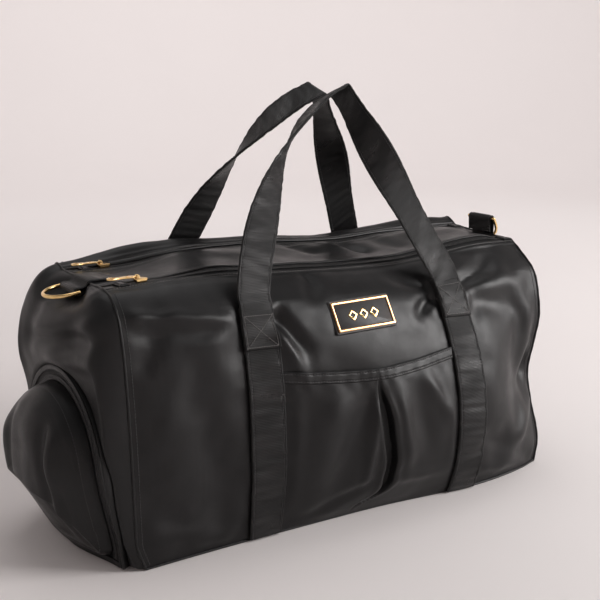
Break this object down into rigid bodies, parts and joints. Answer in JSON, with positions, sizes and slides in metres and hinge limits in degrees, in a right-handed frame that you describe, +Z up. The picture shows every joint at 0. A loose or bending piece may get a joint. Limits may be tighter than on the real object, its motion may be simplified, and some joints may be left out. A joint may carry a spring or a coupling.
{
  "type": "weekender bag",
  "caption": "Soft black duffel with double top zips, webbing carry handles, a front slip pocket, a zipped end shoe pocket and gold hardware.",
  "frame": {"origin": "middle of the flat base, on the surface the bag stands on", "axes": "+X along the bag's length towards its right end (the end without the shoe pocket), the front wall with the slip pocket and plaque faces -Y, +Z up"},
  "size_m": [0.6086, 0.284, 0.4554],
  "materials": {
    "nylon": "satin",
    "webbing": "ribbed satin",
    "lining": "matte",
    "coil": "satin",
    "board": "matte",
    "hardware": "polished light gold",
    "plaque_gold": "polished rose gold",
    "plaque_dark": "fine grain"
  },
  "bodies": {
    "bag": {"front_panel": "nylon", "back_panel": "nylon", "bottom_panel": "nylon", "base_board": "board", "lining": "lining", "inner_slip_pocket": "lining", "left_end_panel": "nylon", "right_end_panel": "nylon", "top_front_strip": "nylon", "top_back_strip": "nylon", "top_left_end": "nylon", "top_right_end": "nylon", "front_zip_outer": "coil", "front_zip_ends": "coil", "back_zip_outer": "coil", "back_zip_ends": "coil", "front_zip_left_tab": "nylon", "front_zip_right_tab": "nylon", "back_zip_left_tab": "nylon", "back_zip_right_tab": "nylon", "front_pocket": "nylon", "pocket_hem": "nylon", "front_left_strap": "webbing", "front_right_strap": "webbing", "back_left_strap": "webbing", "back_right_strap": "webbing", "front_left_anchor": "webbing", "front_right_anchor": "webbing", "back_left_anchor": "webbing", "back_right_anchor": "webbing", "plaque_backing": "plaque_dark", "plaque_frame": "plaque_gold", "plaque_inlay": "plaque_dark", "plaque_emblem": "plaque_gold", "left_ring_tab": "webbing", "right_ring_tab": "webbing", "shoe_pocket_gusset": "nylon", "shoe_compartment": "lining", "shoe_zip_outer": "coil"},
    "lid": {"top_center_panel": "nylon", "front_zip_inner": "coil", "back_zip_inner": "coil"},
    "front_slider": {"front_zip_slider": "hardware"},
    "front_pull": {"front_zip_pull": "hardware"},
    "back_slider": {"back_zip_slider": "hardware"},
    "back_pull": {"back_zip_pull": "hardware"},
    "shoe_pocket_flap": {"shoe_flap": "nylon", "shoe_zip_inner": "coil"},
    "shoe_slider": {"shoe_zip_slider": "hardware"},
    "shoe_pull": {"shoe_zip_pull": "hardware"},
    "front_carry_handle": {"front_handle": "webbing"},
    "back_carry_handle": {"back_handle": "webbing"},
    "left_ring": {"left_d_ring": "hardware"},
    "right_ring": {"right_d_ring": "hardware"}
  },
  "joints": [
    {"name": "lid_hinge", "type": "hinge", "parent": "bag", "child": "lid", "pos_m": [0, 0.044, 0.2724], "axis": [-1, 0, 0], "range_deg": [0, 75]},
    {"name": "front_zip_run", "type": "slide", "parent": "bag", "child": "front_slider", "axis": [1, 0, 0], "range_m": [0, 0.472]},
    {"name": "front_pull_flip", "type": "hinge", "parent": "front_slider", "child": "front_pull", "pos_m": [-0.229, -0.044, 0.27625], "axis": [0, 1, 0], "range_deg": [0, 180]},
    {"name": "back_zip_run", "type": "slide", "parent": "bag", "child": "back_slider", "axis": [1, 0, 0], "range_m": [0, 0.472]},
    {"name": "back_pull_flip", "type": "hinge", "parent": "back_slider", "child": "back_pull", "pos_m": [-0.229, 0.044, 0.27625], "axis": [0, 1, 0], "range_deg": [0, 180]},
    {"name": "shoe_flap_hinge", "type": "hinge", "parent": "bag", "child": "shoe_pocket_flap", "pos_m": [-0.2973, 0, 0.0096], "axis": [0, -1, 0], "range_deg": [0, 60]},
    {"name": "shoe_zip_run", "type": "hinge", "parent": "shoe_pocket_flap", "child": "shoe_slider", "pos_m": [-0.295, 0, 0.088], "axis": [1, 0, 0], "range_deg": [0, 180]},
    {"name": "shoe_pull_flip", "type": "hinge", "parent": "shoe_slider", "child": "shoe_pull", "pos_m": [-0.30125, 0.084, 0.085], "axis": [0, 1, 0], "range_deg": [0, 180]},
    {"name": "front_handle_swing", "type": "hinge", "parent": "bag", "child": "front_carry_handle", "pos_m": [0, -0.09152, 0.243], "axis": [1, 0, 0], "range_deg": [0, 150]},
    {"name": "back_handle_swing", "type": "hinge", "parent": "bag", "child": "back_carry_handle", "pos_m": [0, 0.09152, 0.243], "axis": [-1, 0, 0], "range_deg": [0, 150]},
    {"name": "left_ring_swing", "type": "hinge", "parent": "bag", "child": "left_ring", "pos_m": [-0.28, 0, 0.262], "axis": [0, 1, 0], "range_deg": [0, 130]},
    {"name": "right_ring_swing", "type": "hinge", "parent": "bag", "child": "right_ring", "pos_m": [0.26512, 0, 0.287], "axis": [0, -1, 0], "range_deg": [0, 237]}
  ]
}
